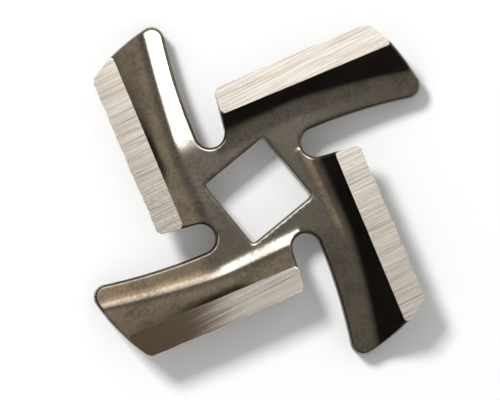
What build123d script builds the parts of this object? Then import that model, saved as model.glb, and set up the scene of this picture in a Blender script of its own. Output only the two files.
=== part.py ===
"""Knife of a meat grinder, pressed from one piece of stainless sheet.

Four swept arms stand round a square drive hole.  The leading side of each arm is bent
up into a flange, and the top of the flange is ground off level to a land, the cutting
face that runs on the grinder's hole plate.  Past the neck an arm dips a little towards
its tip, away from the plate.

Frame: millimetres, +Z from the back of the knife to its lands, the origin on the
knife's axis at the height of its lowest points, X and Y along the sides of the drive
hole.  Each arm is drawn in a frame of its own, with X along the arm and Y across it
towards its leading side, and the heights measured from the back of the hub.
"""

import os
from math import cos, radians, sin, sqrt, tan
from typing import NamedTuple

from build123d import *


class Station(NamedTuple):
    """Shape of the bend at one place along an arm."""

    along: float         # distance along the arm from the knife's axis
    bend_radius: float   # inner radius of the bend
    flange_angle: float  # degrees between the flange and the flat


# Sheet and drive hole
SHEET_THICKNESS = 2.5
HOLE_SIDE = 9.0             # square hole, across its flats
HOLE_CORNER_RADIUS = 0.45
EDGE_ROLL = 0.4             # upper edge of the blank, rolled over by the punch
HOLE_EDGE_BREAK = 0.2       # bevel on the upper edge of the hole

# Arms
ARM_COUNT = 4
ARM_TURN = -16.8            # degrees from the hole's side to the first arm
TIP_RADIUS = 23.5           # circle that the tips sweep
LAND_OFFSET = 9.93          # inner edge of a land from the knife's axis
LAND_WIDTH = 3.32           # land at its widest
LAND_RISE = 1.75            # lands above the hub's upper face
GRINDING_STOCK = 0.4        # flange above the lands before they are ground

# Bend between flat and flange, which opens towards both ends of the land
NECK_BEND_RADIUS = 2.3
NECK_FLANGE_ANGLE = 43.0
ROOT_BEND_RADIUS = 0.9
ROOT_FLANGE_ANGLE = 40.5
TIP_BEND_RADIUS = 0.9
TIP_FLANGE_ANGLE = 44.0
ROOT_STATIONS = 3           # sections along the root part of a strip
TIP_STATIONS = 5            # sections along its tip part

# Outline of the blank
LEADING_CROWN_AT = 15.0     # distance along the arm to the land's widest place
LEADING_EDGE_RADIUS = 600.0  # slight bow of the leading edge
TRAILING_EDGE_RADIUS = 70.0  # hollow of the trailing edge
NOTCH_RADIUS = 1.75         # round end of the notch between two arms
NOTCH_ACROSS = 2.65         # its centre, across the arm
NOTCH_RELIEF = 0.38         # notch past the next arm's bend
ROOT_LEAN = 7.0             # degrees that the flange's inner end leans outwards
ROOT_CORNER_RADIUS = 0.8    # corner of the land near the hub
LEADING_CORNER_RADIUS = 1.3  # corner of the land at the tip
TRAILING_CORNER_RADIUS = 1.5  # corner at the tip's trailing side

# Dip of an arm, seen from the side
DIP_LEAD = 0.23             # start of the dip short of the next arm's bend
KNEE_RADIUS = 40.0          # bend at the neck
KNEE_LENGTH = 3.0           # length of that bend along the arm
DIP_RADIUS = 190.0          # gentle curve from the neck to the tip

TIP_CLEAR = 1.0             # bent strip past the tips before the outline is cut
MATCH = 0.01                # how closely two points are told apart

TURN_STEP = 360.0 / ARM_COUNT
LAND_HEIGHT = SHEET_THICKNESS + LAND_RISE


def bend_offset(rise, bend_radius, flange_angle):
    """Distance from the knife's axis to the start of a bend whose flange ends at a land."""
    angle = radians(flange_angle)
    return LAND_OFFSET - rise / tan(angle) - bend_radius * tan(angle / 2)


NECK_BEND_OFFSET = bend_offset(LAND_RISE, NECK_BEND_RADIUS, NECK_FLANGE_ANGLE)
NOTCH_ALONG = NECK_BEND_OFFSET - NOTCH_RELIEF + NOTCH_RADIUS
DIP_START = NECK_BEND_OFFSET - DIP_LEAD
LEADING_REACH = LAND_OFFSET + LAND_WIDTH


def blend(start, end, share):
    """Value at a share of the way from start to end."""
    return start + (end - start) * share


def shares(count):
    """Evenly spaced shares from nothing to the whole."""
    return [step / (count - 1) for step in range(count)]


def root_stations():
    """Bend from the flange's inner end to the neck, where the arm is level with the hub."""
    return [
        Station(
            blend(-NOTCH_ACROSS, DIP_START, share),
            blend(ROOT_BEND_RADIUS, NECK_BEND_RADIUS, share),
            blend(ROOT_FLANGE_ANGLE, NECK_FLANGE_ANGLE, share),
        )
        for share in shares(ROOT_STATIONS)
    ]


def tip_stations():
    """Bend from the neck to just past the tip, along the dipping part of the arm."""
    end = TIP_RADIUS + TIP_CLEAR
    return [
        Station(
            blend(DIP_START, end, share),
            blend(NECK_BEND_RADIUS, TIP_BEND_RADIUS, share**2),
            blend(NECK_FLANGE_ANGLE, TIP_FLANGE_ANGLE, share**2),
        )
        for share in shares(TIP_STATIONS)
    ]


def dip(along):
    """Drop of an arm below the hub's plane at a distance along the arm."""
    past = max(along - DIP_START, 0.0)
    if past <= KNEE_LENGTH:
        return past**2 / (2 * KNEE_RADIUS)
    rest = past - KNEE_LENGTH
    knee_slope = KNEE_LENGTH / KNEE_RADIUS
    return KNEE_LENGTH * knee_slope / 2 + knee_slope * rest + rest**2 / (2 * DIP_RADIUS)


def sheet_section(station, across_start):
    """Section across an arm: level sheet, a bend, and a flange that ends above the land."""
    angle = radians(station.flange_angle)
    bottom = -dip(station.along)
    top = bottom + SHEET_THICKNESS
    bend_at = bend_offset(LAND_HEIGHT - top, station.bend_radius, station.flange_angle)
    outer_radius = station.bend_radius + SHEET_THICKNESS
    centre = Vector(bend_at, top + station.bend_radius)
    halfway = Vector(sin(angle / 2), -cos(angle / 2))
    outward = Vector(sin(angle), -cos(angle))
    up_flange = Vector(cos(angle), sin(angle))

    inner_foot = centre + outward * station.bend_radius
    outer_foot = centre + outward * outer_radius
    flange_length = (LAND_HEIGHT + GRINDING_STOCK - outer_foot.Y) / sin(angle)
    inner_head = inner_foot + up_flange * flange_length
    outer_head = outer_foot + up_flange * flange_length

    edges = [
        Line((across_start, top), (bend_at, top)),
        ThreePointArc((bend_at, top), centre + halfway * station.bend_radius, inner_foot),
        Line(inner_foot, inner_head),
        Line(inner_head, outer_head),
        Line(outer_head, outer_foot),
        ThreePointArc(outer_foot, centre + halfway * outer_radius, (bend_at, bottom)),
        Line((bend_at, bottom), (across_start, bottom)),
        Line((across_start, bottom), (across_start, top)),
    ]
    across_plane = Plane(origin=(station.along, 0, 0), x_dir=(0, 1, 0), z_dir=(1, 0, 0))
    return across_plane * make_face(edges)


def tip_circle_crossing(centre, radius):
    """Point near the tip where another circle crosses the circle of the tips."""
    reach = centre.length
    toward = centre / reach
    along = (TIP_RADIUS**2 - radius**2 + reach**2) / (2 * reach)
    aside = sqrt(TIP_RADIUS**2 - along**2)
    return toward * along + toward.rotate(Axis.Z, 90) * aside


def arm_outline():
    """Edges of one arm's share of the outline, and its corners with their radii."""
    notch_crest = Vector(NOTCH_ALONG, NOTCH_ACROSS + NOTCH_RADIUS)
    trailing_centre = notch_crest - Vector(0, TRAILING_EDGE_RADIUS)
    leading_centre = Vector(LEADING_CROWN_AT, LEADING_REACH - LEADING_EDGE_RADIUS)
    trailing_corner = tip_circle_crossing(trailing_centre, TRAILING_EDGE_RADIUS)
    leading_corner = tip_circle_crossing(leading_centre, LEADING_EDGE_RADIUS)

    # The notch on the leading side belongs to the arm ahead, one step round.
    ahead = Vector(NOTCH_ALONG, NOTCH_ACROSS).rotate(Axis.Z, TURN_STEP)
    lean = radians(ROOT_LEAN)
    root_foot = ahead + Vector(cos(lean), -sin(lean)) * NOTCH_RADIUS
    up_root = Vector(sin(lean), cos(lean))
    offset = root_foot - leading_centre
    along = offset.dot(up_root)
    travel = sqrt(along**2 - offset.dot(offset) + LEADING_EDGE_RADIUS**2) - along
    root_corner = root_foot + up_root * travel

    edges = [
        RadiusArc(notch_crest, trailing_corner, TRAILING_EDGE_RADIUS),
        RadiusArc(trailing_corner, leading_corner, -TIP_RADIUS),
        RadiusArc(leading_corner, root_corner, -LEADING_EDGE_RADIUS),
        Line(root_corner, root_foot),
        ThreePointArc(
            root_foot,
            ahead - Vector(0, NOTCH_RADIUS),
            notch_crest.rotate(Axis.Z, TURN_STEP),
        ),
    ]
    corners = [
        (trailing_corner, TRAILING_CORNER_RADIUS),
        (leading_corner, LEADING_CORNER_RADIUS),
        (root_corner, ROOT_CORNER_RADIUS),
    ]
    return edges, corners


def around(shape):
    """Copies of a shape, one for each arm."""
    return [Rot(0, 0, step * TURN_STEP) * shape for step in range(ARM_COUNT)]


def blank():
    """Flat outline of the knife with rounded corners, without its drive hole."""
    edges, corners = arm_outline()
    outline = make_face([copy for edge in edges for copy in around(edge)])
    for corner, radius in corners:
        spots = around(Vertex(corner))
        same = [v for v in outline.vertices() if min(map(v.distance_to, spots)) < MATCH]
        outline = fillet(same, radius)
    return outline


def bent_sheet():
    """Uncut sheet: a level hub with four bent strips that dip towards their ends."""
    hub = extrude(Rectangle(2 * DIP_START, 2 * DIP_START), SHEET_THICKNESS)
    root = loft([sheet_section(station, DIP_START) for station in root_stations()])
    tip = loft([sheet_section(station, NOTCH_ACROSS) for station in tip_stations()])
    return hub + around(root) + around(tip)


def knife():
    """The finished knife, standing on its tips."""
    outline = blank()
    reach = 2 * TIP_RADIUS
    cutter = extrude(outline, reach, both=True)
    pressed = bent_sheet() & cutter
    ground = pressed - Pos(0, 0, LAND_HEIGHT) * extrude(Rectangle(reach, reach), reach)

    # The top edge is rolled over from each land round the trailing side to the next land.
    crest = Vector(NOTCH_ALONG, NOTCH_ACROSS + NOTCH_RADIUS, SHEET_THICKNESS)
    seams = [ground.edges().sort_by_distance(point)[0] for point in around(Vertex(crest))]
    rolled = fillet(seams, EDGE_ROLL)

    hole = RectangleRounded(HOLE_SIDE, HOLE_SIDE, HOLE_CORNER_RADIUS)
    drive = extrude(Rot(0, 0, -ARM_TURN) * hole, reach, both=True)
    pierced = rolled - drive
    level = pierced.edges().filter_by_position(Axis.Z, SHEET_THICKNESS, SHEET_THICKNESS)
    rim = [edge for edge in level if drive.distance_to(edge) < MATCH]
    pierced = chamfer(rim, HOLE_EDGE_BREAK)
    turned = Rot(0, 0, ARM_TURN) * pierced
    return Pos(0, 0, -turned.bounding_box().min.Z) * turned


os.makedirs("parts", exist_ok=True)
export_step(knife(), "parts/knife.step")
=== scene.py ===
"""Dressed model of a meat grinder knife: one pressed, bent and ground piece of stainless sheet.

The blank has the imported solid's outline and heights, with a finer bend. It is meshed,
bent, and ground level along its four lands, in the order in which the real knife is made.
"""

import logging
import math
from collections.abc import Callable
from dataclasses import dataclass, field
from enum import Enum

import bpy
from mathutils import Matrix, Vector, kdtree, noise
from mathutils.geometry import delaunay_2d_cdt


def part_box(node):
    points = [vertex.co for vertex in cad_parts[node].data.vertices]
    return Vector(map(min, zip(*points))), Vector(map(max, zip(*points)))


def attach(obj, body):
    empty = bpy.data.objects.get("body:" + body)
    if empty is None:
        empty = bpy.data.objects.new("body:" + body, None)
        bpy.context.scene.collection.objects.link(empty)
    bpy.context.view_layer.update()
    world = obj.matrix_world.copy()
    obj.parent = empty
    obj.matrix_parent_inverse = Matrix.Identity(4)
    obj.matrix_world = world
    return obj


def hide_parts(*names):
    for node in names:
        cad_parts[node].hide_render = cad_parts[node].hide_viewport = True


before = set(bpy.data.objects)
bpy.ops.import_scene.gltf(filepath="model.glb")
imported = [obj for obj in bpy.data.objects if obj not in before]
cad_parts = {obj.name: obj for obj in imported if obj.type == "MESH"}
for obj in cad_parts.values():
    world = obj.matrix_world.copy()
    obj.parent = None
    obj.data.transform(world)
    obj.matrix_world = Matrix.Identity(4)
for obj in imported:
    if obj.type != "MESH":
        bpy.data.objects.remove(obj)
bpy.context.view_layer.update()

MM = 0.001
LOG = logging.getLogger("knife")
Socket = bpy.types.NodeSocket


# ---------------------------------------------------------------- plan outline


@dataclass(frozen=True)
class Arc:
    """A stretch of outline on a circle, run from one angle to another.

    Args:
        centre: Centre of the circle.
        radius: Radius of the circle.
        start: Angle of its first point, in radians.
        end: Angle of its last point.
        hollow: True where the sheet lies outside the circle.
    """

    centre: Vector
    radius: float
    start: float
    end: float
    hollow: bool = False

    def samples(self, spacing: float) -> list[tuple[Vector, Vector]]:
        """Points from start to just before the end, each with its outward direction."""
        length = abs(self.end - self.start) * self.radius
        steps = max(3, math.ceil(length / spacing))
        made = []
        for step in range(steps):
            angle = self.start + (self.end - self.start) * step / steps
            ray = Vector((math.cos(angle), math.sin(angle)))
            made.append((self.centre + ray * self.radius, -ray if self.hollow else ray))
        return made


@dataclass(frozen=True)
class Side:
    """A straight stretch of outline, with the sheet on its left."""

    start: Vector
    end: Vector

    def samples(self, spacing: float) -> list[tuple[Vector, Vector]]:
        """Points from start to just before the end, each with its outward direction."""
        run = self.end - self.start
        steps = max(2, math.ceil(run.length / spacing))
        outward = Vector((run.y, -run.x)).normalized()
        return [(self.start + run * step / steps, outward) for step in range(steps)]


def crossing(centre_a: Vector, radius_a: float, centre_b: Vector, radius_b: float) -> Vector:
    """Point where two circles cross, left of the way from the first centre to the second.

    Args:
        centre_a: Centre of the first circle.
        radius_a: Its radius.
        centre_b: Centre of the second circle.
        radius_b: Its radius.

    Returns:
        The crossing point.
    """
    between = centre_b - centre_a
    gap = between.length
    along = (radius_a**2 - radius_b**2 + gap**2) / (2 * gap)
    aside = math.sqrt(radius_a**2 - along**2)
    toward = between / gap
    return centre_a + toward * along + Vector((-toward.y, toward.x)) * aside


def crossing_ahead(centre_a: Vector, radius_a: float, centre_b: Vector,
                   radius_b: float) -> Vector:
    """The one of two circles' crossings that lies at positive x."""
    point = crossing(centre_a, radius_a, centre_b, radius_b)
    return point if point.x >= 0 else crossing(centre_b, radius_b, centre_a, radius_a)


def bearing(centre: Vector, point: Vector) -> float:
    """Angle of the way from a centre to a point, in radians."""
    return math.atan2(point.y - centre.y, point.x - centre.x)


def turned(point: Vector, degrees: float) -> Vector:
    """A plan point turned round the knife's axis."""
    angle = math.radians(degrees)
    cos, sin = math.cos(angle), math.sin(angle)
    return Vector((point.x * cos - point.y * sin, point.x * sin + point.y * cos))


def rounding(radius: float, depth: float) -> float:
    """Height that a rounded edge takes off at a distance inside the edge."""
    return radius - math.sqrt(radius**2 - (radius - depth) ** 2) if depth < radius else 0.0


# ---------------------------------------------------------------- the blank


@dataclass(frozen=True)
class BlankSizes:
    """Sizes of the pressed blank in millimetres and degrees.

    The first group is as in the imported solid. The second shapes the bend more finely than
    the solid does and lays the flanges a little flatter, inside the same outline and at the
    same heights.
    """

    thickness: float = 2.5
    hole_side: float = 9.0
    hole_corner: float = 0.45
    edge_roll: float = 0.4
    arm_count: int = 4
    arm_turn: float = -16.8
    tip_radius: float = 23.5
    land_offset: float = 9.93
    land_width: float = 3.32
    land_rise: float = 1.75
    neck_bend: float = 2.3
    neck_angle: float = 43.0
    leading_crown_at: float = 15.0
    leading_radius: float = 600.0
    trailing_radius: float = 70.0
    notch_radius: float = 1.75
    notch_across: float = 2.65
    notch_relief: float = 0.38
    root_lean: float = 7.0
    root_corner: float = 0.8
    leading_corner: float = 1.3
    trailing_corner: float = 1.5
    dip_lead: float = 0.23
    knee_radius: float = 40.0
    knee_length: float = 3.0
    dip_radius: float = 190.0
    tip_clear: float = 1.0

    hole_break: float = 0.25       # round on the upper edge of the hole
    back_round: float = 0.12       # round on the edge of the back
    painted_edge_shade: float = 0.1          # painted shade: a dark strip of sheared finish along the very edge of the upper face
    root_zone: float = 5.0         # from here out the hub belongs to the bent strip
    root_sweep: float = 2.9        # width of the bend in plan: inner end, neck and tip
    neck_sweep: float = 2.75
    tip_sweep: float = 1.6
    start_angle: float = 33.0      # angle of the flange at the same three places
    waist_angle: float = 40.4
    end_angle: float = 38.4
    sweep_power: float = 1.8       # how gently the sheet leaves the flat
    hollow: float = 1.5            # turn of the flange's face from crease to land
    waist_hollow: float = 3.6      # further turn at the waist, and where that is
    waist_at: float = 9.0
    waist_length: float = 3.5
    back_skim: float = 0.06        # sheet left between a land and the back at its thinnest

    @property
    def land_height(self) -> float:
        """Height of the lands above the back of the hub."""
        return self.thickness + self.land_rise

    @property
    def neck_offset(self) -> float:
        """Distance from the axis to the bend at the neck, whose flange ends at the land."""
        slope = math.radians(self.neck_angle)
        run = self.land_rise / math.tan(slope)
        return self.land_offset - run - self.neck_bend * math.tan(slope / 2)

    @property
    def notch_along(self) -> float:
        """Distance along the arm to the centre of its notch."""
        return self.neck_offset - self.notch_relief + self.notch_radius

    @property
    def dip_start(self) -> float:
        """Distance along the arm at which it leaves the hub's plane."""
        return self.neck_offset - self.dip_lead

    @property
    def leading_reach(self) -> float:
        """Distance of the leading edge from the axis, where the land is widest."""
        return self.land_offset + self.land_width

    def arm_angle(self, arm: int) -> float:
        """Turn of an arm's frame from the knife's, in degrees."""
        return self.arm_turn + arm * 360.0 / self.arm_count


@dataclass(frozen=True)
class Rag:
    """How far the grinding wheel has torn the leading edge of one arm.

    Args:
        depth: Deepest bite into the edge, in millimetres.
        seed: Place on the noise from which the bites are read.
    """

    depth: float
    seed: float

    MEAN_BITE = 0.42
    WAVES = ((0.55, 0.0, 0.55), (2.1, 4.0, 0.5), (5.3, 9.0, 0.3))

    def bite(self, along: float) -> float:
        """Distance that the edge is torn back at a distance along the arm."""
        if self.depth == 0:
            return 0.0
        share = self.MEAN_BITE
        # Each wave is the bites per millimetre, its layer of the noise and its weight.
        for per_mm, layer, weight in self.WAVES:
            share += weight * noise.noise(Vector((along * per_mm, self.seed, layer)))
        return self.depth * min(max(share, 0.0), 1.0)


class Outline:
    """Outline of the blank in plan, with the direction that faces out at each point."""

    def __init__(self, sizes: BlankSizes, rags: list[Rag], spacing: float) -> None:
        """Walks once round the blank.

        Args:
            sizes: Sizes of the blank.
            rags: Torn edge of each arm, in the order of the arms.
            spacing: Distance between neighbouring points.
        """
        self.sizes = sizes
        self.points: list[Vector] = []
        self.outward: list[Vector] = []
        for arm, rag in enumerate(rags):
            turn = sizes.arm_angle(arm)
            for stretch, is_leading in self.stretches():
                for point, outward in stretch.samples(spacing):
                    if is_leading:
                        point = point - outward * rag.bite(point.x)
                    self.points.append(turned(point, turn))
                    self.outward.append(turned(outward, turn))

    def stretches(self) -> list[tuple[Arc | Side, bool]]:
        """One arm's share of the outline, each stretch with whether it is the leading edge."""
        z = self.sizes
        origin = Vector((0.0, 0.0))
        crest = Vector((z.notch_along, z.notch_across + z.notch_radius))
        trailing = crest - Vector((0.0, z.trailing_radius))
        leading = Vector((z.leading_crown_at, z.leading_reach - z.leading_radius))
        ahead = Vector((-z.notch_across, z.notch_along))
        lean = math.radians(z.root_lean)
        up_root = Vector((math.sin(lean), math.cos(lean)))
        into_root = Vector((math.cos(lean), -math.sin(lean)))
        foot = ahead + into_root * z.notch_radius

        heel = crossing_ahead(
            trailing, z.trailing_radius + z.trailing_corner,
            origin, z.tip_radius - z.trailing_corner,
        )
        toe = crossing_ahead(
            origin, z.tip_radius - z.leading_corner,
            leading, z.leading_radius - z.leading_corner,
        )
        inner = foot + into_root * z.root_corner - leading
        along = inner.dot(up_root)
        reach = z.leading_radius - z.root_corner
        travel = math.sqrt(along**2 - inner.length_squared + reach**2) - along
        shoulder = foot + into_root * z.root_corner + up_root * travel

        heel_in, heel_out = bearing(trailing, heel), bearing(origin, heel)
        toe_in, toe_out = bearing(origin, toe), bearing(leading, toe)
        end_in = bearing(leading, shoulder)
        end_out = math.pi - lean
        quarter = math.pi / 2
        return [
            (Arc(trailing, z.trailing_radius, quarter, heel_in, hollow=True), False),
            (Arc(heel, z.trailing_corner, heel_in - math.pi, heel_out), False),
            (Arc(origin, z.tip_radius, heel_out, toe_in), False),
            (Arc(toe, z.leading_corner, toe_in, toe_out), False),
            (Arc(leading, z.leading_radius, toe_out, end_in), True),
            (Arc(shoulder, z.root_corner, end_in, end_out), False),
            (Side(shoulder - into_root * z.root_corner, foot), False),
            (Arc(ahead, z.notch_radius, -lean, -math.pi, hollow=True), False),
        ]


class BentSheet:
    """Heights of the bent blank's two faces over its plan, in an arm's own frame."""

    TANGENT_SERIES = ((1, 1.0), (3, 1 / 3), (5, 2 / 15), (7, 17 / 315))
    HALVINGS = 14

    def __init__(self, sizes: BlankSizes) -> None:
        """Keeps the sizes that both faces are worked out from."""
        self.sizes = sizes

    def dip(self, along: float) -> float:
        """Drop of the arm below the hub's plane at a distance along the arm."""
        z = self.sizes
        past = max(along - z.dip_start, 0.0)
        if past <= z.knee_length:
            return past**2 / (2 * z.knee_radius)
        slope = z.knee_length / z.knee_radius
        rest = past - z.knee_length
        return z.knee_length * slope / 2 + slope * rest + rest**2 / (2 * z.dip_radius)

    def bend(self, along: float) -> tuple[float, float, float]:
        """Start, width in plan and angle of the bend at a distance along the arm."""
        z = self.sizes
        if along <= z.dip_start:
            share = max((along + z.notch_across) / (z.dip_start + z.notch_across), 0.0)
            width = z.root_sweep + (z.neck_sweep - z.root_sweep) * share
            angle = z.start_angle + (z.waist_angle - z.start_angle) * share
        else:
            end = z.tip_radius + z.tip_clear
            share = (along - z.dip_start) / (end - z.dip_start)
            width = z.neck_sweep + (z.tip_sweep - z.neck_sweep) * share**2
            angle = z.waist_angle + (z.end_angle - z.waist_angle) * share
        slope = math.radians(angle)
        run = (z.land_rise + self.dip(along) - width * self.climb(1.0, slope)) / math.tan(slope)
        return z.land_offset - run - width, width, slope

    def climb(self, share: float, angle: float) -> float:
        """Rise over a share of the bend, for a bend one unit wide.

        The sheet's angle grows with a power of the way across the bend, so the sheet leaves
        the flat gently. The rise is the integral of the angle's tangent, as a series.
        """
        power = self.sizes.sweep_power
        total = 0.0
        for order, factor in self.TANGENT_SERIES:
            total += factor * angle**order * share**(order * power + 1) / (order * power + 1)
        return total

    def is_arm(self, along: float, across: float) -> bool:
        """True where the plan point lies on the bent strip and not on the level hub."""
        z = self.sizes
        if along > z.dip_start:
            return across > z.notch_across
        return across > z.root_zone and along > -z.notch_across

    def top(self, along: float, across: float) -> float:
        """Height of the upper face before the lands are ground."""
        z = self.sizes
        start, width, angle = self.bend(along)
        level = z.thickness - self.dip(along)
        past = across - start
        if past <= 0:
            return level
        if past <= width:
            return level + width * self.climb(past / width, angle)
        run = z.land_offset - start - width
        beyond = past - width
        hollow = z.hollow + z.waist_hollow * math.exp(
            -((along - z.waist_at) / z.waist_length) ** 2)
        bow = math.radians(hollow) / math.cos(angle)**2 / run
        sag = bow / 2 * beyond * (beyond - run) if beyond < run else 0.0
        return level + width * self.climb(1.0, angle) + beyond * math.tan(angle) + sag

    def back(self, along: float, across: float) -> float:
        """Height of the lower face, one sheet thickness square off the upper one."""
        z = self.sizes
        start, width, angle = self.bend(along)
        level = z.thickness - self.dip(along)
        past = across - start
        if past <= 0:
            return level - z.thickness
        whole = width + z.thickness * math.sin(angle)
        if past >= whole:
            foot = level + width * self.climb(1.0, angle) - z.thickness * math.cos(angle)
            return foot + (past - whole) * math.tan(angle)
        low, high = 0.0, 1.0
        for _ in range(self.HALVINGS):
            share = (low + high) / 2
            reach = width * share + z.thickness * math.sin(angle * share**z.sweep_power)
            low, high = (share, high) if reach < past else (low, share)
        tilt = angle * low**z.sweep_power
        return level + width * self.climb(low, angle) - z.thickness * math.cos(tilt)


class Zone(Enum):
    """Zones of the knife that are finished differently; the value is the material's place."""

    TOP = 0
    LAND = 1
    WALL_AND_EDGE_SHADE = 2
    BACK = 3


@dataclass
class Patch:
    """Triangles of one face of the knife, and which of its points lie on the two edges."""

    points: list[tuple[float, float, float]] = field(default_factory=list)
    faces: list[tuple[int, ...]] = field(default_factory=list)
    rim: list[int] = field(default_factory=list)
    hole_rim: list[int] = field(default_factory=list)


class KnifeMesher:
    """Turns the blank's sizes into one closed mesh.

    Rings are rows of points that follow an edge at the given distances from it, for the
    hole as shares of its rounded edge. Spacings and clearances are in millimetres, but for
    ROW_CLEAR, which is a share of the grid's spacing.
    """

    TOP_RINGS = (0.02, 0.06, 0.12, 0.19, 0.27, 0.36, 0.47, 0.6, 0.75)
    BACK_RINGS = (0.04, 0.12, 0.4)
    HOLE_RINGS = (0.12, 0.35, 0.65, 1.0)
    WALL_ROWS = 4
    RIM_SPACING = 0.17
    HOLE_SPACING = 0.3
    TOP_SPACING = 0.27
    BACK_SPACING = 0.45
    CREASE_SPACING = 0.2
    CREASE_END_CLEAR = 0.03
    CREASE_REACH = 0.12
    HOLE_CLEAR = 0.12
    ROW_CLEAR = 0.4
    SHARP_DEGREES = 28.0

    def __init__(self, sizes: BlankSizes, rags: list[Rag], back_height: float) -> None:
        """Prepares the outline and the sheet.

        Args:
            sizes: Sizes of the blank.
            rags: Torn leading edge of each arm.
            back_height: Height of the hub's back above the origin, in millimetres.
        """
        self.sizes = sizes
        self.sheet = BentSheet(sizes)
        self.outline = Outline(sizes, rags, self.RIM_SPACING)
        self.hole = self._hole_loop(self.HOLE_SPACING)
        self.back_height = back_height
        self.tree = kdtree.KDTree(len(self.outline.points))
        for index, point in enumerate(self.outline.points):
            self.tree.insert((point.x, point.y, 0.0), index)
        self.tree.balance()

    def _hole_loop(self, spacing: float) -> list[tuple[Vector, Vector]]:
        """Points round the square hole, each with the direction that faces the opening."""
        z = self.sizes
        half = z.hole_side / 2
        inset = half - z.hole_corner
        loop = []
        for quarter in range(4):
            degrees = quarter * 90.0
            corner = Arc(turned(Vector((inset, inset)), degrees), z.hole_corner,
                         math.radians(degrees), math.radians(degrees + 90.0), hollow=True)
            side = Side(turned(Vector((inset, half)), degrees),
                        turned(Vector((-inset, half)), degrees))
            loop += corner.samples(spacing / 3)
            loop += [(point, -outward) for point, outward in side.samples(spacing)]
        return loop

    def edge_distance(self, point: Vector) -> float:
        """Distance from the outline to a plan point inside it."""
        near, index, _ = self.tree.find((point.x, point.y, 0.0))
        offset = Vector((near.x, near.y)) - point
        return max(offset.dot(self.outline.outward[index]), 0.0)

    def hole_distance(self, point: Vector) -> float:
        """Distance from the edge of the drive hole, below zero in the opening."""
        z = self.sizes
        inset = z.hole_side / 2 - z.hole_corner
        x, y = abs(point.x) - inset, abs(point.y) - inset
        outside = math.hypot(max(x, 0.0), max(y, 0.0))
        return outside + min(max(x, y), 0.0) - z.hole_corner

    def arm_at(self, point: Vector) -> tuple[float, float] | None:
        """Place of a plan point in its arm's frame, or None on the level hub."""
        z = self.sizes
        for arm in range(z.arm_count):
            local = turned(point, -z.arm_angle(arm))
            if self.sheet.is_arm(local.x, local.y):
                return local.x, local.y
        return None

    def top_height(self, point: Vector) -> float:
        """Height of the finished upper face: rolled at the edge, then ground at the land."""
        z = self.sizes
        place = self.arm_at(point)
        height = z.thickness if place is None else self.sheet.top(*place)
        height -= rounding(z.edge_roll, self.edge_distance(point))
        height -= rounding(z.hole_break, max(self.hole_distance(point), 0.0))
        return min(height, z.land_height)

    def back_height_at(self, point: Vector) -> float:
        """Height of the finished lower face."""
        z = self.sizes
        place = self.arm_at(point)
        height = 0.0 if place is None else self.sheet.back(*place)
        height += rounding(z.back_round, self.edge_distance(point))
        return min(height, z.land_height - z.back_skim)

    def _grid(self, spacing: float, clear: float) -> list[Vector]:
        """Points on each arm's own grid and on the hub's, clear of every edge."""
        z = self.sizes
        reach = int(z.tip_radius / spacing) + 1
        made = []
        for arm in range(z.arm_count):
            turn = z.arm_angle(arm)
            for column in range(-reach, reach):
                for row in range(0, reach):
                    along, across = column * spacing, row * spacing
                    if math.hypot(along, across) > z.tip_radius:
                        continue
                    if not self.sheet.is_arm(along, across):
                        continue
                    if abs(across - z.land_offset) < spacing * self.ROW_CLEAR:
                        continue
                    made.append(turned(Vector((along, across)), turn))
        span = int(z.dip_start / spacing) + 1
        for column in range(-span, span + 1):
            for row in range(-span, span + 1):
                point = turned(Vector((column * spacing, row * spacing)), z.arm_turn)
                if self.arm_at(point) is None:
                    made.append(point)
        kept = []
        for point in made:
            near, index, gap = self.tree.find((point.x, point.y, 0.0))
            inside = (Vector((near.x, near.y)) - point).dot(self.outline.outward[index])
            if inside > clear and self.hole_distance(point) > z.hole_break + self.HOLE_CLEAR:
                kept.append(point)
        return kept

    def _patch(self, rings: tuple[float, ...], spacing: float,
               height: Callable[[Vector], float], with_crease: bool) -> Patch:
        """Meshes one face of the knife.

        Args:
            rings: Distances from the outline at which a row of points follows it.
            spacing: Distance between the points of the inner grid.
            height: Function from a plan point to its height.
            with_crease: True to cut the triangles along the lands' inner edges.

        Returns:
            The patch, with its points in millimetres.
        """
        z = self.sizes
        plan: list[Vector] = []
        edges: list[tuple[int, int]] = []

        def loop(points: list[Vector], closed: bool = True) -> list[int]:
            """Adds points joined in a row, and gives their places."""
            first = len(plan)
            plan.extend(points)
            ids = list(range(first, len(plan)))
            edges.extend(zip(ids, ids[1:]))
            if closed:
                edges.append((ids[-1], ids[0]))
            return ids

        outline = self.outline
        rim = loop(outline.points)
        for depth in rings:
            loop([p - o * depth for p, o in zip(outline.points, outline.outward)])
        hole_rim = loop([p for p, _ in self.hole])
        if with_crease:
            for share in self.HOLE_RINGS:
                loop([p - o * z.hole_break * share for p, o in self.hole])
            for arm in range(z.arm_count):
                turn = z.arm_angle(arm)
                start, end = self._crease_ends(turn)
                steps = int((end - start) / self.CREASE_SPACING)
                loop([turned(Vector((start + (end - start) * i / steps, z.land_offset)), turn)
                      for i in range(steps + 1)], closed=False)
        plan.extend(self._grid(spacing, rings[-1] + spacing * self.ROW_CLEAR))
        flat, _, faces, origins, _, _ = delaunay_2d_cdt(plan, edges, [], 1, 1e-5)

        lookup = {}
        for index, sources in enumerate(origins):
            for source in sources:
                lookup[source] = index
        patch = Patch(rim=[lookup[i] for i in rim], hole_rim=[lookup[i] for i in hole_rim])
        lift = self.back_height
        patch.points = [(p.x, p.y, height(p) + lift) for p in flat]
        for face in faces:
            centre = (flat[face[0]] + flat[face[1]] + flat[face[2]]) / 3
            if self.hole_distance(centre) > 0:
                patch.faces.append(tuple(face))
        return patch

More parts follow.
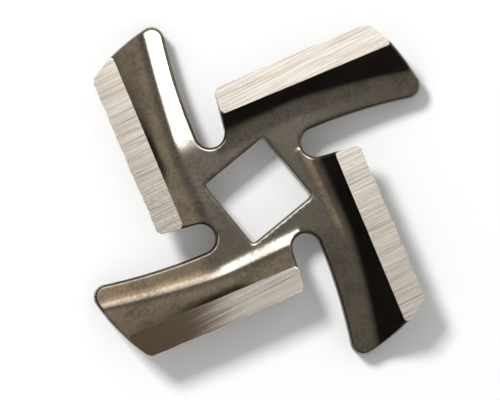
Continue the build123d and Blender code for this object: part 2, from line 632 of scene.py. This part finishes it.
    def _crease_ends(self, turn: float) -> tuple[float, float]:
        """Ends of a land's inner edge, along the arm, just inside the outline."""
        z = self.sizes
        inner = []
        for point in self.outline.points:
            local = turned(point, -turn)
            is_near = abs(local.y - z.land_offset) < self.CREASE_REACH
            if is_near and local.x > -z.notch_across:
                inner.append(local.x)
        tip = math.sqrt(z.tip_radius**2 - z.land_offset**2)
        return min(inner) + self.CREASE_END_CLEAR, tip - self.CREASE_END_CLEAR

    def build(self, name: str) -> bpy.types.Object:
        """Makes the knife as one closed mesh, in metres, with its attributes.

        Args:
            name: Name of the new object.

        Returns:
            The object, linked to the scene.
        """
        z = self.sizes
        top = self._patch(self.TOP_RINGS, self.TOP_SPACING, self.top_height, True)
        back = self._patch(self.BACK_RINGS, self.BACK_SPACING, self.back_height_at, False)
        points = list(top.points)
        faces = list(top.faces)
        kinds = [self._top_zone([points[i] for i in face]) for face in faces]
        first = len(points)
        points += back.points
        faces += [tuple(first + i for i in reversed(face)) for face in back.faces]
        kinds += [Zone.BACK] * len(back.faces)
        # The hole is walked the other way, so that its wall faces the opening.
        for upper, lower in ((top.rim, back.rim), (top.hole_rim[::-1], back.hole_rim[::-1])):
            self._wall(points, faces, kinds, upper, [first + i for i in lower])

        mesh = bpy.data.meshes.new(name)
        mesh.from_pydata([Vector(p) * MM for p in points], [], faces)
        level = z.land_height + self.back_height
        for polygon, kind in zip(mesh.polygons, kinds):
            polygon.use_smooth = True
            on_land = kind is not Zone.BACK and all(
                abs(points[i][2] - level) < 1e-5 for i in polygon.vertices)
            polygon.material_index = (Zone.LAND if on_land else kind).value
        self._mark_sharp(mesh, math.radians(self.SHARP_DEGREES))
        mesh.validate()
        LOG.info("%s: %d points, %d faces", name, len(mesh.vertices), len(mesh.polygons))
        return add_object(name, mesh)

    def _top_zone(self, corners: list[tuple[float, float, float]]) -> Zone:
        """Zone of a face of the upper side: the dark sheared finish at the very edge as painted
        shade, tumbled within.
        """
        centre = sum((Vector(corner[:2]) for corner in corners), Vector((0.0, 0.0)))
        distance = self.edge_distance(centre / len(corners))
        # Painted shade: the upper face's outermost strip takes the dark sheared finish.
        return Zone.WALL_AND_EDGE_SHADE if distance < self.sizes.painted_edge_shade else Zone.TOP

    def _wall(self, points: list[tuple[float, float, float]], faces: list[tuple[int, ...]],
              kinds: list[Zone], upper: list[int], lower: list[int]) -> None:
        """Joins the two faces along one edge loop by rows of quads."""
        rows = [upper]
        for row in range(1, self.WALL_ROWS):
            share = row / self.WALL_ROWS
            ids = []
            for a, b in zip(upper, lower):
                ids.append(len(points))
                points.append(tuple(u + (v - u) * share for u, v in zip(points[a], points[b])))
            rows.append(ids)
        rows.append(lower)
        count = len(upper)
        for above, below in zip(rows, rows[1:]):
            for i in range(count):
                j = (i + 1) % count
                faces.append((above[i], below[i], below[j], above[j]))
                kinds.append(Zone.WALL_AND_EDGE_SHADE)

    @staticmethod
    def _mark_sharp(mesh: bpy.types.Mesh, limit: float) -> None:
        """Keeps the shading apart across edges that turn by more than a limit."""
        mesh.update()
        normals = {}
        for polygon in mesh.polygons:
            for key in polygon.edge_keys:
                normals.setdefault(key, []).append(polygon.normal.copy())
        sharp = mesh.attributes.new("sharp_edge", "BOOLEAN", "EDGE")
        for edge in mesh.edges:
            pair = normals.get(tuple(sorted(edge.vertices)), [])
            if len(pair) == 2 and pair[0].angle(pair[1], 0.0) > limit:
                sharp.data[edge.index].value = True


# ---------------------------------------------------------------- finishes


def add_object(name: str, data: bpy.types.ID) -> bpy.types.Object:
    """Adds an object to the scene."""
    made = bpy.data.objects.new(name, data)
    bpy.context.scene.collection.objects.link(made)
    return made


def linear(code: str) -> tuple[float, float, float, float]:
    """Turns an sRGB hex colour into the linear values that shaders take.

    Args:
        code: Colour as "#rrggbb".

    Returns:
        Red, green, blue and an alpha of one.
    """
    values = []
    for place in (1, 3, 5):
        share = int(code[place:place + 2], 16) / 255
        values.append(share / 12.92 if share <= 0.04045 else ((share + 0.055) / 1.055) ** 2.4)
    return values[0], values[1], values[2], 1.0


class Shader:
    """A node tree that is filled one node at a time."""

    def __init__(self, tree: bpy.types.NodeTree) -> None:
        """Empties the tree.

        Args:
            tree: Node tree of a material or world.
        """
        self.tree = tree
        tree.nodes.clear()

    def add(self, kind: str, settings: dict | None = None, **inputs) -> bpy.types.Node:
        """Adds a node.

        Args:
            kind: Node type, without "ShaderNode".
            settings: Attributes of the node.
            **inputs: Values or sockets by input name, with "_" for a blank and "i0" for an index.

        Returns:
            The node.
        """
        node = self.tree.nodes.new("ShaderNode" + kind)
        for name, value in (settings or {}).items():
            setattr(node, name, value)
        for name, value in inputs.items():
            is_index = name[0] == "i" and name[1:].isdigit()
            socket = node.inputs[int(name[1:]) if is_index else name.replace("_", " ")]
            if isinstance(value, Socket):
                self.tree.links.new(value, socket)
            else:
                socket.default_value = value
        return node

    def math(self, operation: str, *values: float | Socket) -> Socket:
        """Adds a math node and gives its result."""
        numbered = {f"i{place}": value for place, value in enumerate(values)}
        return self.add("Math", {"operation": operation}, **numbered).outputs[0]

    def ramp(self, value: Socket, low: float, high: float, start: float = 0.0,
             end: float = 1.0) -> Socket:
        """Maps a value from one range smoothly onto another."""
        node = self.add("MapRange", {"interpolation_type": "SMOOTHSTEP"}, Value=value,
                        From_Min=low, From_Max=high, To_Min=start, To_Max=end)
        return node.outputs[0]

    def noise(self, coords: Socket, size_mm: float, detail: float = 2.0,
              rough: float = 0.5) -> Socket:
        """Noise whose features are about as large as the given size."""
        node = self.add("TexNoise", Vector=coords, Scale=1 / (size_mm * MM),
                        Detail=detail, Roughness=rough)
        return node.outputs[0]

    def lines(self, coords: Socket, turn: float, width_mm: float,
              length_mm: float, detail: float = 3.0) -> Socket:
        """Noise drawn out into long thin strokes that lie in one plan direction.

        Args:
            coords: Coordinates in metres.
            turn: Direction of the strokes in the plan, in degrees from +X.
            width_mm: Width of a stroke.
            length_mm: Length of a stroke.
            detail: Octaves of finer strokes.

        Returns:
            The value of the noise.
        """
        rotate = self.add("VectorRotate", {"rotation_type": "Z_AXIS"}, Vector=coords,
                          Angle=math.radians(-turn))
        stretch = (1 / (length_mm * MM), 1 / (width_mm * MM), 1 / (width_mm * MM))
        scaled = self.add("VectorMath", {"operation": "MULTIPLY"}, i0=rotate.outputs[0],
                          i1=stretch)
        node = self.add("TexNoise", Vector=scaled.outputs[0], Scale=1.0,
                        Detail=detail, Roughness=0.6)
        return node.outputs[0]

    def bump(self, height: Socket, depth_mm: float, normal: Socket | None = None) -> Socket:
        """Bends the normal by a height that runs from nought to the given depth."""
        inputs = {"Height": height, "Distance": depth_mm * MM, "Strength": 1.0}
        if normal is not None:
            inputs["Normal"] = normal
        return self.add("Bump", **inputs).outputs[0]

    def blend(self, share: float | Socket, first: tuple[float, ...] | Socket,
              second: tuple[float, ...] | Socket) -> Socket:
        """Colour between two colours, each a value or a socket."""
        node = self.add("Mix", {"data_type": "RGBA"})
        for name, value in (("Factor_Float", share), ("A_Color", first), ("B_Color", second)):
            socket = next(s for s in node.inputs if s.identifier == name)
            if isinstance(value, Socket):
                self.tree.links.new(value, socket)
            else:
                socket.default_value = value
        return next(s for s in node.outputs if s.identifier == "Result_Color")


class Metal:
    """A metal finish, set out in the knife's own coordinates."""

    NAME = "metal"

    def look(self, s: Shader, place: Socket) -> dict:
        """Gives the inputs of the metal's shader.

        Args:
            s: Node tree of the material.
            place: Coordinates in metres.

        Returns:
            Values or sockets by input name.
        """
        raise NotImplementedError

    def material(self) -> bpy.types.Material:
        """Builds the material."""
        made = bpy.data.materials.new(self.NAME)
        made.use_nodes = True
        s = Shader(made.node_tree)
        inputs = self.look(s, s.add("TexCoord").outputs["Object"])
        shader = s.add("BsdfPrincipled", Metallic=1.0, **inputs)
        s.add("OutputMaterial", Surface=shader.outputs[0])
        return made


@dataclass(frozen=True)
class TumbledStainless(Metal):
    """Stainless sheet, cold rolled, bent and then tumbled bright with the rest of the batch.

    It mirrors the room in soft broad patches. Tumbling leaves a fine peel that makes the
    edges of the bright patches grainy. Thin tarnish clouds it here and there, and other
    knives in the batch leave pits and short scuffs.

    Args:
        steel: Colour of the clean metal.
        stain: Colour of the thin tarnish on it.
        grime: Colour between the peel's grains.
        pit: Colour in the small pits.
        roughness: Roughness of the clean metal.
        tarnish_roughness: How much rougher the tarnish is.
        cloud_mm: Size of the clouds of tarnish.
        fleck_mm: Size of the flecks at their edges.
        grain_mm: Size of the grains. Real ones are a third of this, too fine to show.
        pit_mm: Size of the pits.
        peel_mm: Size of the dimples left by tumbling.
        peel_depth_mm: Depth of those dimples.
        scuff_turn: Direction of the scuffs in the plan, in degrees from +X.
        scuff_mm: Width and length of a scuff.
        scuff_depth_mm: Depth of a scuff.
    """

    steel: str = "#C9C4BC"
    stain: str = "#8C867A"
    grime: str = "#6E675C"
    pit: str = "#3A352E"
    roughness: float = 0.115
    tarnish_roughness: float = 0.05
    cloud_mm: float = 3.4
    fleck_mm: float = 0.42
    grain_mm: float = 0.3
    pit_mm: float = 0.2
    peel_mm: float = 0.15
    peel_depth_mm: float = 0.0022
    scuff_turn: float = 68.0
    scuff_mm: tuple[float, float] = (0.05, 2.5)
    scuff_depth_mm: float = 0.0008

    NAME = "stainless_sheet_tumbled"

    def look(self, s: Shader, place: Socket) -> dict:
        """Gives the inputs of the metal's shader."""
        broad = s.noise(place, self.cloud_mm, 5.0, 0.62)
        fine = s.noise(place, self.fleck_mm, 4.0, 0.65)
        peel = s.noise(place, self.peel_mm, 1.0)
        pits = s.noise(place, self.pit_mm, 2.0)
        scuffs = s.lines(place, self.scuff_turn, *self.scuff_mm)
        cloud = s.math("ADD", s.math("MULTIPLY", broad, 0.6), s.math("MULTIPLY", fine, 0.4))
        colour = s.blend(s.ramp(cloud, 0.44, 0.62, 0.0, 0.55), linear(self.steel),
                         linear(self.stain))
        grain = s.noise(place, self.grain_mm, 3.0, 0.7)
        colour = s.blend(s.ramp(grain, 0.36, 0.54, 0.22, 0.0), colour, linear(self.grime))
        colour = s.blend(s.ramp(pits, 0.68, 0.78, 0.0, 0.55), colour, linear(self.pit))
        rough = s.math("ADD", s.ramp(cloud, 0.42, 0.62, self.roughness,
                                     self.roughness + self.tarnish_roughness),
                       s.ramp(scuffs, 0.62, 0.75, 0.0, 0.08))
        normal = s.bump(peel, self.peel_depth_mm)
        normal = s.bump(scuffs, self.scuff_depth_mm, normal)
        return {"Base_Color": colour, "Roughness": rough, "Normal": normal}


@dataclass(frozen=True)
class GroundStainless(Metal):
    """Stainless ground level on a flat wheel, all four lands in one pass.

    The marks are straight and lie in one direction across the whole knife, so each land
    catches the light along them as a pale, finely streaked band. Round one point near a
    tip the land is painted brown and darker: painted shade that stands in for the dim
    reflection there.

    Args:
        steel: Colour of the ground metal.
        worn: Colour along the duller streaks.
        groove: Colour in the deeper marks.
        painted_shade: Colour of the painted shade near one tip, a brown darkening that
            stands in for the dim reflection there.
        painted_shade_at: Middle of that place, in metres.
        painted_shade_reach: Distances from it between which the painted shade fades, in metres.
        painted_shade_fray: How far the streaks pull the edge of the painted shade about, in
            metres.
        turn: Direction of the grinding marks in the plan, in degrees from +X.
        mark_mm: Width and length of a mark. Real marks are a quarter as wide, which is too
            fine to show.
        streak_mm: Width and length of a streak.
        mark_depth_mm: Depth of a mark.
        roughness: Mean roughness of the ground face.
        drawn: How much more the light spreads across the marks than along them.
    """

    steel: str = "#FBF7F1"
    worn: str = "#EAE1D6"
    groove: str = "#93897C"
    # Painted shade: a brown darkening round one point near a tip, standing in for its dim
    # reflection.
    painted_shade: str = "#74644F"
    painted_shade_at: tuple[float, float, float] = (-0.0195, -0.0055, 0.0058)
    painted_shade_reach: tuple[float, float] = (0.006, 0.014)
    painted_shade_fray: float = 0.006
    turn: float = -13.2
    mark_mm: tuple[float, float] = (0.08, 6.0)
    streak_mm: tuple[float, float] = (0.3, 16.0)
    mark_depth_mm: float = 0.0016
    roughness: float = 0.2
    drawn: float = 0.8

    NAME = "stainless_land_ground"

    def look(self, s: Shader, place: Socket) -> dict:
        """Gives the inputs of the metal's shader."""
        marks = s.lines(place, self.turn, *self.mark_mm, 1.0)
        streaks = s.lines(place, self.turn + 1.0, *self.streak_mm, 2.0)
        colour = s.blend(s.ramp(streaks, 0.3, 0.7), linear(self.worn), linear(self.steel))
        colour = s.blend(s.ramp(marks, 0.3, 0.52, 0.5, 0.0), colour, linear(self.groove))
        # Painted shade: the land turns brown and darker round one point near a tip, where its
        # reflection is dim; the streaks fray its edge.
        offset = s.add("VectorMath", {"operation": "DISTANCE"}, i0=place,
                       i1=self.painted_shade_at).outputs["Value"]
        offset = s.math("ADD", offset, s.math("MULTIPLY", streaks, self.painted_shade_fray))
        painted_shade_share = s.ramp(offset, *self.painted_shade_reach, 0.95, 0.0)
        colour = s.blend(painted_shade_share, colour, linear(self.painted_shade))
        normal = s.bump(marks, self.mark_depth_mm)
        # The marks spread the light across themselves.
        angle = math.radians(self.turn + 90.0)
        across = s.add("CombineXYZ", X=math.cos(angle), Y=math.sin(angle),
                       Z=0.0).outputs[0]
        return {"Base_Color": colour, "Roughness": self.roughness, "Normal": normal,
                "Anisotropic": self.drawn, "Tangent": across}


@dataclass(frozen=True)
class ShearedStainlessPaintedShade(Metal):
    """Stainless cut through by the blanking punch, and not finished since.

    It is torn to a fine grain, so it mirrors nothing sharply. Its dark colour is painted
    shade, standing in for the dark room that the cut edges mirror.

    Args:
        steel: Colour of the torn metal, made dark as painted shade.
        grain_mm: Size of the grain.
        grain_depth_mm: Depth of the grain.
        smooth: Roughness where the punch has burnished it.
        torn: Roughness where it has torn.
    """

    # The dark colour is painted shade, standing in for the dark room that the edges mirror.
    steel: str = "#5A544C"
    grain_mm: float = 0.22
    grain_depth_mm: float = 0.02
    smooth: float = 0.3
    torn: float = 0.5

    NAME = "stainless_edge_sheared_painted_shade"

    def look(self, s: Shader, place: Socket) -> dict:
        """Gives the inputs of the metal's shader."""
        grain = s.noise(place, self.grain_mm, 3.0, 0.6)
        rough = s.ramp(grain, 0.4, 0.65, self.smooth, self.torn)
        normal = s.bump(grain, self.grain_depth_mm)
        return {"Base_Color": linear(self.steel), "Roughness": rough, "Normal": normal}


# ---------------------------------------------------------------- stage


@dataclass(frozen=True)
class Viewpoint:
    """Where the camera stands.

    Args:
        target: Point that it looks at, in millimetres, in the frame's own axes.
        lean: Lean of the sight line from the vertical, to the right and up, in radians.
        roll: Turn of the frame's axes from the knife's, in radians.
        distance: Distance from the target, in millimetres.
        focal: Focal length in pixels of the frame.
        frame_width: Width of the frame in pixels.
    """

    target: tuple[float, float, float] = (-1.0177, -1.1414, 4.04)
    lean: tuple[float, float] = (-0.0516, -0.0285)
    roll: float = 0.6892
    distance: float = 400.0
    focal: float = 3374.1
    frame_width: float = 500.0

    SENSOR_MM = 36.0

    def place(self) -> bpy.types.Object:
        """Adds the camera and makes it the scene's own."""
        spin = Matrix.Rotation(-self.roll, 3, "Z")
        back = Vector((math.tan(self.lean[0]), math.tan(self.lean[1]), 1.0)).normalized()
        right = (Vector((1.0, 0.0, 0.0)) - back * back.x).normalized()
        up = back.cross(right)
        spot = spin @ (Vector(self.target) + back * self.distance) * MM
        camera = add_object("camera", bpy.data.cameras.new("camera"))
        axes = Matrix((spin @ right, spin @ up, spin @ back)).transposed()
        camera.matrix_world = Matrix.Translation(spot) @ axes.to_4x4()
        camera.data.sensor_width = self.SENSOR_MM
        camera.data.lens = self.SENSOR_MM * self.focal / self.frame_width
        camera.data.clip_start = 0.01
        bpy.context.scene.camera = camera
        return camera


@dataclass(frozen=True)
class Panel:
    """A lamp, placed by the direction it shines from in the frame's own axes.

    Args:
        name: Name of the lamp.
        side: Degrees round from the frame's right towards its top.
        tilt: Degrees from straight overhead.
        distance: Distance from the knife, in metres.
        size: Width and height, in metres.
        power: Power in watts.
        in_metal: True where the metal reflects the lamp.
    """

    name: str
    side: float
    tilt: float
    distance: float
    size: tuple[float, float]
    power: float
    in_metal: bool = True

    def place(self, roll: float) -> bpy.types.Object:
        """Adds the lamp, facing the knife.

        Args:
            roll: Turn of the frame's axes from the knife's, in radians.

        Returns:
            The lamp.
        """
        turn = math.radians(self.side) - roll
        tilt = math.radians(self.tilt)
        toward = Vector((math.cos(turn) * math.sin(tilt), math.sin(turn) * math.sin(tilt),
                         math.cos(tilt)))
        lamp = bpy.data.lights.new(self.name, "AREA")
        lamp.shape = "RECTANGLE"
        lamp.size, lamp.size_y = self.size
        lamp.energy = self.power
        holder = add_object(self.name, lamp)
        holder.location = toward * self.distance
        holder.rotation_mode = "QUATERNION"
        holder.rotation_quaternion = toward.to_track_quat("Z", "Y")
        holder.visible_glossy = self.in_metal
        return holder


FLOOR_HALF = 0.6
FLOOR_WHITE = (0.93, 0.93, 0.93, 1.0)


def build_floor(half: float) -> bpy.types.Object:
    """Adds the plain white floor under the knife's tips.

    Args:
        half: Half of its width, in metres.

    Returns:
        The floor.
    """
    mesh = bpy.data.meshes.new("floor")
    mesh.from_pydata([(-half, -half, 0), (half, -half, 0), (half, half, 0), (-half, half, 0)],
                     [], [(0, 1, 2, 3)])
    floor = add_object("floor", mesh)
    made = bpy.data.materials.new("floor_plain")
    made.use_nodes = True
    s = Shader(made.node_tree)
    shader = s.add("BsdfDiffuse", Color=FLOOR_WHITE)
    s.add("OutputMaterial", Surface=shader.outputs[0])
    mesh.materials.append(made)
    return floor


@dataclass(frozen=True)
class Glow:
    """A soft-edged bright part of the room, seen only in the metal.

    Directions are slopes from straight overhead, along the room's own axis and across it.

    Args:
        along: Where it fades in and out along the axis.
        across: Where it fades in and out across it.
        colour: Its colour.
        level: Its brightness.
    """

    along: tuple[float, float, float, float]
    across: tuple[float, float, float, float]
    colour: str
    level: float


# A window, the pale wall beside it, and a warm one across the room.
GLOWS = (
    Glow((0.02, 0.075, 0.26, 0.36), (0.055, 0.11, 0.36, 0.7), "#FFFEFB", 3.2),
    Glow((-0.5, -0.08, 0.04, 0.07), (0.13, 0.32, 0.34, 0.8), "#FFF4E6", 1.15),
    Glow((-0.5, -0.3, -0.1, -0.03), (-0.04, 0.12, 0.25, 0.4), "#FFE0BC", 0.65),
)


@dataclass(frozen=True)
class Room:
    """What the bright metal mirrors, and the even light that the room adds.

    Heights are sines of the angle above the floor.

    Args:
        turn: Degrees from the frame's right to the axis along which the glows are set out.
        overhead: Colour of the ceiling.
        far: Colour of the walls on the far side and to the right.
        near: Colour of the walls on the near side and to the left.
        facing: How much right and how much up lead from the near walls to the far ones.
        meeting: Where the near walls end and the far ones begin, on that scale.
        skirting: Colour of the dark foot of the walls.
        sill: Heights between which the dark foot ends.
        sill_climb: How much higher it ends on the far side.
        cornice: Heights between which the walls turn into the ceiling.
        glow_foot: Heights between which the glows begin.
        even: Colour of the light that the room adds on the floor.
    """

    turn: float = 30.5
    overhead: str = "#6B665E"
    far: str = "#9A8F7E"
    near: str = "#14110E"
    facing: tuple[float, float] = (0.5, 0.9)
    meeting: tuple[float, float] = (-0.55, 0.7)
    skirting: str = "#1A1611"
    sill: tuple[float, float] = (0.125, 0.155)
    sill_climb: float = 0.05
    cornice: tuple[float, float] = (0.35, 0.97)
    glow_foot: tuple[float, float] = (0.05, 0.2)
    even: str = "#C0C0C0"

    def build(self, roll: float) -> None:
        """Makes the world.

        Args:
            roll: Turn of the frame's axes from the knife's, in radians.
        """
        world = bpy.data.worlds.new("room")
        bpy.context.scene.world = world
        world.use_nodes = True
        s = Shader(world.node_tree)
        coords = s.add("TexCoord").outputs["Generated"]
        framed = s.add("VectorRotate", {"rotation_type": "Z_AXIS"}, Vector=coords, Angle=roll)
        right, up, height = s.add("SeparateXYZ", Vector=framed.outputs[0]).outputs
        colour = self._walls(s, right, up, height)
        steep = s.math("MAXIMUM", height, self.glow_foot[0])
        along, across = self._set_out(s, s.math("DIVIDE", right, steep),
                                      s.math("DIVIDE", up, steep))
        above = s.ramp(height, *self.glow_foot)
        for glow in GLOWS:
            share = s.math("MULTIPLY", above, self._share(s, glow, along, across))
            light = s.add("VectorMath", {"operation": "SCALE"}, i0=linear(glow.colour)[:3],
                          Scale=s.math("MULTIPLY", share, glow.level))
            colour = s.add("VectorMath", {"operation": "ADD"}, i0=colour,
                           i1=light.outputs[0]).outputs[0]
        glossy = s.add("LightPath").outputs["Is Glossy Ray"]
        shown = s.blend(glossy, linear(self.even), colour)
        background = s.add("Background", Color=shown, Strength=1.0)
        s.add("OutputWorld", Surface=background.outputs[0])

    def _walls(self, s: Shader, right: Socket, up: Socket, height: Socket) -> Socket:
        """Colour of the walls and the ceiling in a direction."""
        toward = s.math("ADD", s.math("MULTIPLY", right, self.facing[0]),
                        s.math("MULTIPLY", up, self.facing[1]))
        walls = s.blend(s.ramp(toward, *self.meeting), linear(self.near), linear(self.far))
        _, behind = self._set_out(s, right, up)
        climb = s.math("MULTIPLY", s.math("MAXIMUM", behind, 0.0), self.sill_climb)
        foot = s.math("SUBTRACT", height, climb)
        walls = s.blend(s.ramp(foot, *self.sill), linear(self.skirting), walls)
        return s.blend(s.ramp(height, *self.cornice), walls, linear(self.overhead))

    def _set_out(self, s: Shader, right: Socket, up: Socket) -> tuple[Socket, Socket]:
        """Parts of a direction along and across the axis of the glows."""
        cos, sin = math.cos(math.radians(self.turn)), math.sin(math.radians(self.turn))
        along = s.math("ADD", s.math("MULTIPLY", right, cos), s.math("MULTIPLY", up, sin))
        across = s.math("SUBTRACT", s.math("MULTIPLY", up, cos),
                        s.math("MULTIPLY", right, sin))
        return along, across

    @staticmethod
    def _share(s: Shader, glow: Glow, along: Socket, across: Socket) -> Socket:
        """How much of a direction a glow fills."""
        share = None
        for value, fades in ((along, glow.along), (across, glow.across)):
            for part in (s.ramp(value, fades[0], fades[1]),
                         s.ramp(value, fades[2], fades[3], 1.0, 0.0)):
                share = part if share is None else s.math("MULTIPLY", share, part)
        return share


LAMPS = (
    Panel("key", side=134.0, tilt=42.0, distance=0.9, size=(0.2, 0.2), power=6.5,
          in_metal=False),
)


# ---------------------------------------------------------------- assembly


def build_knife() -> bpy.types.Object:
    """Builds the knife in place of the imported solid, with its finishes."""
    sizes = BlankSizes()
    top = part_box("knife")[1][2] / MM
    rags = [Rag(0.0, 1.0), Rag(0.2, 31.0), Rag(0.12, 57.0), Rag(0.2, 83.0)]
    mesher = KnifeMesher(sizes, rags, back_height=top - sizes.land_height)
    knife = mesher.build("knife_dressed")
    body = TumbledStainless().material()
    for finish in (body, GroundStainless().material(), ShearedStainlessPaintedShade().material(), body):
        knife.data.materials.append(finish)
    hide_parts("knife")
    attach(knife, "root")
    return knife


def main() -> None:
    """Builds the knife and its stage."""
    logging.basicConfig(level=logging.INFO, format="%(name)s: %(message)s")
    bpy.context.scene.view_settings.view_transform = "Standard"
    build_knife()
    view = Viewpoint()
    view.place()
    build_floor(FLOOR_HALF)
    Room().build(view.roll)
    for lamp in LAMPS:
        lamp.place(view.roll)
        LOG.info("lamp %s", lamp.name)


if __name__ == "__main__":
    main()
